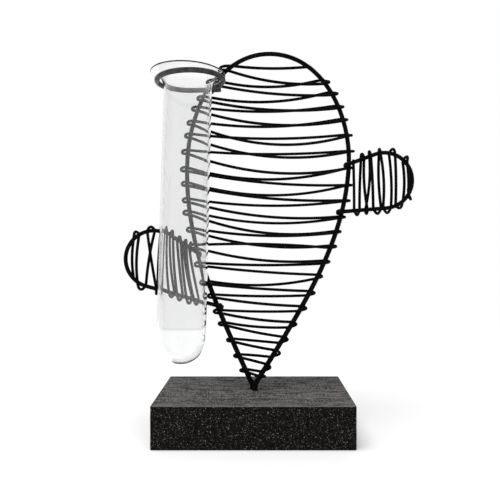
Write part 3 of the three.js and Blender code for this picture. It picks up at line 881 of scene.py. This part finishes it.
def painted_rod(name, dark, light, roughness, gloss):
    """Black paint over iron: slightly mottled, a little rough"""
    material, tree, shader = new_material(name)
    place = place_in_object(tree)
    mottle = spread(tree, noise_value(tree, place, 180), 0.35, 0.7)
    tree.links.new(blended(tree, mottle, dark, light), shader.inputs["Base Color"])
    sheen = spread(tree, noise_value(tree, place, 420), 0.3, 0.7, roughness - 0.08, roughness + 0.1)
    tree.links.new(sheen, shader.inputs["Roughness"])
    shader.inputs["Specular IOR Level"].default_value = gloss
    bumped(tree, shader, noise_value(tree, place, 900), 0.00008)
    return material


def ring_iron():
    """Bare dark iron: satin, with scale and paler rubbed patches"""
    material, tree, shader = new_material("ring_iron")
    place = place_in_object(tree)
    rubbed_and_edge_highlight = spread(tree, noise_value(tree, place, 260), 0.42, 0.62)
    colour = blended(tree, rubbed_and_edge_highlight, (0.002, 0.002, 0.0021), (0.032, 0.032, 0.033))
    tree.links.new(colour, shader.inputs["Base Color"])
    shader.inputs["Metallic"].default_value = 0.2
    tree.links.new(spread(tree, rubbed_and_edge_highlight, 0, 1, 0.55, 0.36), shader.inputs["Roughness"])
    bumped(tree, shader, noise_value(tree, place, 700), 0.0001)
    return material


def clear_glass():
    """Clear glass: grey in the tube, painted nearly clear in the flare as painted light from above,
    and with painted shade at its left and right edges as the photo shows them, the right one darker"""
    material, tree, shader = new_material("clear_glass")
    place = place_in_object(tree)
    axes = add_node(tree, "ShaderNodeSeparateXYZ", inputs={"Vector": place}).outputs
    streak = spread(tree, noise_value(tree, place_in_object(tree, (1, 1, 0.12)), 160), 0.3, 0.7)
    wall = blended(tree, streak, (0.875, 0.878, 0.878), (0.905, 0.906, 0.906))
    # Painted light: the flare is painted nearly clear for the light from above that it catches
    flare = spread(tree, axes["Z"], FLARE_PAINTED_LIGHT_FROM, FLARE_PAINTED_LIGHT_TO)
    wall = blended(tree, flare, wall, (0.99, 0.991, 0.991))
    # Painted shade where the glass is seen edge on: faint at the left edge, deeper at the right
    side = spread(tree, axes["X"], LEFT_EDGE_SHADE_AT, RIGHT_EDGE_SHADE_AT)
    rim = blended(tree, side, (0.93, 0.932, 0.932), (0.62, 0.625, 0.625))
    facing = add_node(tree, "ShaderNodeLayerWeight", inputs={"Blend": 0.35}).outputs["Facing"]
    edge = spread(tree, facing, 0.6, 0.95)
    tree.links.new(blended(tree, edge, wall, rim), shader.inputs["Base Color"])
    shader.inputs["Transmission Weight"].default_value = 1
    shader.inputs["Roughness"].default_value = 0
    shader.inputs["IOR"].default_value = 1.47
    return material


def speckle(tree, place, scale, size, share):
    """Small round specks: in a share of a cell pattern's cells, a dot of a given size"""
    cells = add_node(tree, "ShaderNodeTexVoronoi", inputs={"Vector": place, "Scale": scale})
    dot = spread(tree, cells.outputs["Distance"], size, size * 0.45)
    pick = add_node(tree, "ShaderNodeSeparateColor", inputs={"Color": cells.outputs["Color"]})
    chosen = spread(tree, pick.outputs["Red"], 1 - share, 1 - share * 0.6)
    product = add_node(
        tree, "ShaderNodeMath", settings={"operation": "MULTIPLY"}, inputs={0: dot, 1: chosen}
    )
    return product.outputs["Value"]


def stained_wood():
    """Charcoal stain with fine pale specks: dark sides, a top with grain streaks painted paler as
    painted light from above, and a painted highlight along the edges
    """
    material, tree, shader = new_material("stained_wood")
    place = place_in_object(tree)
    grit = noise_value(tree, place, 2300, 2, 0.8)
    bands = noise_value(tree, place_in_object(tree, (0.07, 1, 1)), 190, 3)
    streaks = noise_value(tree, place_in_object(tree, (0.12, 0.5, 1)), 600, 2)
    grain = noise_value(tree, place_in_object(tree, (1, 0.3, 1)), 1100, 2, 0.8)

    deep_stain = (0.0003, 0.0003, 0.0002)
    side_stain = (0.024, 0.0215, 0.02)
    side = blended(tree, spread(tree, grit, 0.46, 0.64), deep_stain, side_stain)

    # The top's colours: real grain and streaks, painted paler than the sides as painted light from
    # above
    dark_grain = (0.028, 0.027, 0.0265)
    pale_grain = (0.215, 0.207, 0.203)
    top = blended(tree, spread(tree, grain, 0.42, 0.6), dark_grain, pale_grain)

    dark_streak = (0.026, 0.025, 0.025)
    pale_streak = (0.165, 0.159, 0.156)
    streaked = blended(tree, spread(tree, streaks, 0.4, 0.6), dark_streak, pale_streak)
    top = blended(tree, spread(tree, bands, 0.35, 0.62, 0.1, 0.8), top, streaked)
    normal = add_node(tree, "ShaderNodeNewGeometry").outputs["Normal"]
    upward = add_node(tree, "ShaderNodeSeparateXYZ", inputs={"Vector": normal}).outputs["Z"]
    # Painted highlight on the bevelled edges between the sides and the top, mottled by the grit
    dark_edge_highlight = (0.07, 0.067, 0.065)
    pale_edge_highlight = (0.27, 0.26, 0.255)
    rubbed_and_edge_highlight = blended(tree, spread(tree, grit, 0.35, 0.65), dark_edge_highlight, pale_edge_highlight)
    colour = blended(tree, spread(tree, upward, 0.35, 0.75), side, rubbed_and_edge_highlight)
    # Painted light from above: faces that look up get the paler top colours
    colour = blended(tree, spread(tree, upward, 0.85, 0.98), colour, top)

    fine_speck = (0.15, 0.137, 0.127)
    coarse_speck = (0.24, 0.23, 0.22)
    colour = blended(tree, speckle(tree, place, 1700, 0.5, 0.24), colour, fine_speck)
    colour = blended(tree, speckle(tree, place, 1000, 0.38, 0.12), colour, coarse_speck)
    tree.links.new(colour, shader.inputs["Base Color"])
    shader.inputs["Roughness"].default_value = 0.9
    shader.inputs["Specular IOR Level"].default_value = 0.05
    bumped(tree, shader, grit, 0.0002)
    return material


def seen_directly(tree):
    """1 for camera, glossy and transmission rays, 0 for the rays that only carry light"""
    rays = add_node(tree, "ShaderNodeLightPath").outputs
    highest = rays["Is Camera Ray"]
    for kind in ("Is Glossy Ray", "Is Transmission Ray"):
        larger = add_node(
            tree, "ShaderNodeMath", settings={"operation": "MAXIMUM"},
            inputs={0: highest, 1: rays[kind]},
        )
        highest = larger.outputs[0]
    return highest


def white_floor():
    """Pale floor that glows, so that the camera sees it as white with soft shadows; its glow grows
    with distance, and a strip along its far edge looks darker in glass and reflections"""
    material, tree, shader = new_material("floor")
    shader.inputs["Base Color"].default_value = (0.9, 0.9, 0.9, 1)
    shader.inputs["Roughness"].default_value = 1
    shader.inputs["Specular IOR Level"].default_value = 0
    is_camera = add_node(tree, "ShaderNodeLightPath").outputs["Is Camera Ray"]
    reach = add_node(
        tree, "ShaderNodeVectorMath", settings={"operation": "LENGTH"},
        inputs={0: place_in_object(tree)},
    )
    far_glow = spread(tree, reach.outputs["Value"], 0.1, 1.2, 0.17, 0.9)
    axes = add_node(tree, "ShaderNodeSeparateXYZ", inputs={"Vector": place_in_object(tree)}).outputs
    far_edge = TABLE_FAR_EDGE * MM
    # Painted shade: along the far edge the floor glows less for rays seen in glass and reflections
    strip = spread(tree, axes["Y"], far_edge - STRIP_STARTS, far_edge - STRIP_FULL, 0.4, 0.1)
    glow = spread(tree, is_camera, 0, 1, strip, far_glow)
    light = add_node(tree, "ShaderNodeEmission", inputs={"Color": (1, 1, 1, 1), "Strength": glow})
    layers = {0: shader.outputs[0], 1: light.outputs[0]}
    both = add_node(tree, "ShaderNodeAddShader", inputs=layers)
    seen = seen_directly(tree)
    mix = add_node(
        tree, "ShaderNodeMixShader", inputs={0: seen, 1: shader.outputs[0], 2: both.outputs[0]}
    )
    tree.links.new(mix.outputs[0], tree.nodes["Material Output"].inputs["Surface"])
    return material


# Pieces
rod_black = painted_rod(
    "black_rod", dark=(0.0012, 0.0012, 0.0013), light=(0.0055, 0.0055, 0.0058),
    roughness=0.55, gloss=0.04,
)
wire_black = painted_rod(
    "black_wire", dark=(0.001, 0.001, 0.0011), light=(0.004, 0.004, 0.0042),
    roughness=0.55, gloss=0.03,
)
weld_black = painted_rod(
    "weld_bead", dark=(0.0012, 0.0012, 0.0012), light=(0.007, 0.0065, 0.0065),
    roughness=0.65, gloss=0.04,
)
iron = ring_iron()
glass = clear_glass()
wood = stained_wood()


def stand_in_for(piece, node, material, body="stand"):
    piece.data.materials.clear()
    piece.data.materials.append(material)
    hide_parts(node)
    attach(piece, body)


stand_in_for(drilled(block()), "base_block", wood)
teardrop = swept("teardrop_rod", teardrop_points(), rod_thickness, ROD_SIDES)
stand_in_for(teardrop, "teardrop_frame", rod_black)
for name, node, lobe in (
    ("left_lobe", "left_lobe_rod", left_lobe),
    ("right_lobe", "right_lobe_rod", right_lobe),
):
    lobe_rod = swept(name, lobe["points"], evenly(ROD_IN_LOBES), ROD_SIDES)
    stand_in_for(lobe_rod, node, rod_black)
ring = swept("ring", ring_points(), evenly(ROD), ROD_SIDES)
stand_in_for(ring, "tube_ring", iron)

tube = lathed("glass_tube", tube_outline(), TUBE_SIDES, body_drift, tube_place)
tube.visible_shadow = False
stand_in_for(tube, "test_tube", glass, body="tube")

for name, node, winding in (
    ("body_wire", "body_winding", body_winding),
    ("left_lobe_wire", "left_lobe_winding", left_winding),
    ("right_lobe_wire", "right_lobe_winding", right_winding),
):
    wire = swept(name, softened(winding_points(winding), 2), evenly(DRAWN_WIRE), WIRE_SIDES)
    stand_in_for(wire, node, wire_black)


def crossing_bead(name, node, flank, cross, way, seed):
    """Bead in the inner corner where a leg crosses the teardrop's rod"""
    frame_way = on_branch(flank, cross.z)[1]
    inward = way * (ROD / 2 + BEAD_RADIUS / 2)
    centre = Vector((cross.x, FRONT_OF_ROD / 2, cross.z)) + inward
    stand_in_for(weld_bead(name, centre, frame_way, seed), node, weld_black)


foot_centre = Vector((0, 0, TIP_HEIGHT + FOOT_BEAD_RISE))
foot_bead = weld_bead("foot_bead", foot_centre, UPWARD, 1)
stand_in_for(foot_bead, "foot_weld", weld_black)
for side, flank, lobe, level, seed in (
    ("left", left_side, left_lobe, "upper", 3),
    ("left", left_side, left_lobe, "lower", 2),
    ("right", right_side, right_lobe, "upper", 5),
    ("right", right_side, right_lobe, "lower", 4),
):
    crossing_bead(
        f"{side}_{level}_bead", f"{side}_{level}_weld", flank,
        lobe[f"{level}_cross"], lobe[f"{level}_way"], seed,
    )
crossing_bead("ring_bead", "ring_weld", left_side, tail_cross, ring_turn @ Vector((1, 0, 0)), 6)


# Table, light and camera
def floor():
    mesh_data = bmesh.new()
    bmesh.ops.create_grid(mesh_data, x_segments=2, y_segments=2, size=TABLE_HALF_WIDTH)
    shift = Vector((0, TABLE_FAR_EDGE - TABLE_HALF_WIDTH, 0))
    bmesh.ops.translate(mesh_data, vec=shift, verts=mesh_data.verts)
    piece = to_object("floor", mesh_data)
    piece.data.materials.append(white_floor())


def lamp(name, place, target, size, power):
    light = bpy.data.lights.new(name, "AREA")
    light.shape = "DISK"
    light.size = size
    light.energy = power
    holder = bpy.data.objects.new(name, light)
    holder.location = place
    holder.rotation_euler = (Vector(target) - Vector(place)).to_track_quat("-Z", "Y").to_euler()
    holder.visible_glossy = False
    holder.visible_transmission = False
    bpy.context.collection.objects.link(holder)


def sky():
    world = bpy.data.worlds.new("studio")
    bpy.context.scene.world = world
    world.use_nodes = True
    tree = world.node_tree
    background = tree.nodes["Background"]
    background.inputs["Color"].default_value = (1, 1, 1, 1)
    level = spread(tree, seen_directly(tree), 0, 1, 0.5, 1)
    tree.links.new(level, background.inputs["Strength"])


def camera():
    lens = bpy.data.cameras.new("camera")
    lens.lens = CAMERA_LENS
    lens.sensor_width = CAMERA_SENSOR
    lens.shift_x, lens.shift_y = CAMERA_SHIFT
    lens.clip_start = 0.01
    holder = bpy.data.objects.new("camera", lens)
    holder.location = CAMERA_PLACE
    holder.rotation_euler = Euler((math.pi / 2, 0, 0))
    bpy.context.collection.objects.link(holder)
    bpy.context.scene.camera = holder


floor()
sky()
lamp("top", place=(-0.25, -0.2, 1.1), target=(0, 0, 0.1), size=0.7, power=7)
lamp("front", place=(0.5, -1.0, 0.6), target=(0, 0, 0.12), size=0.5, power=2.5)
camera()
bpy.context.scene.view_settings.view_transform = "Standard"
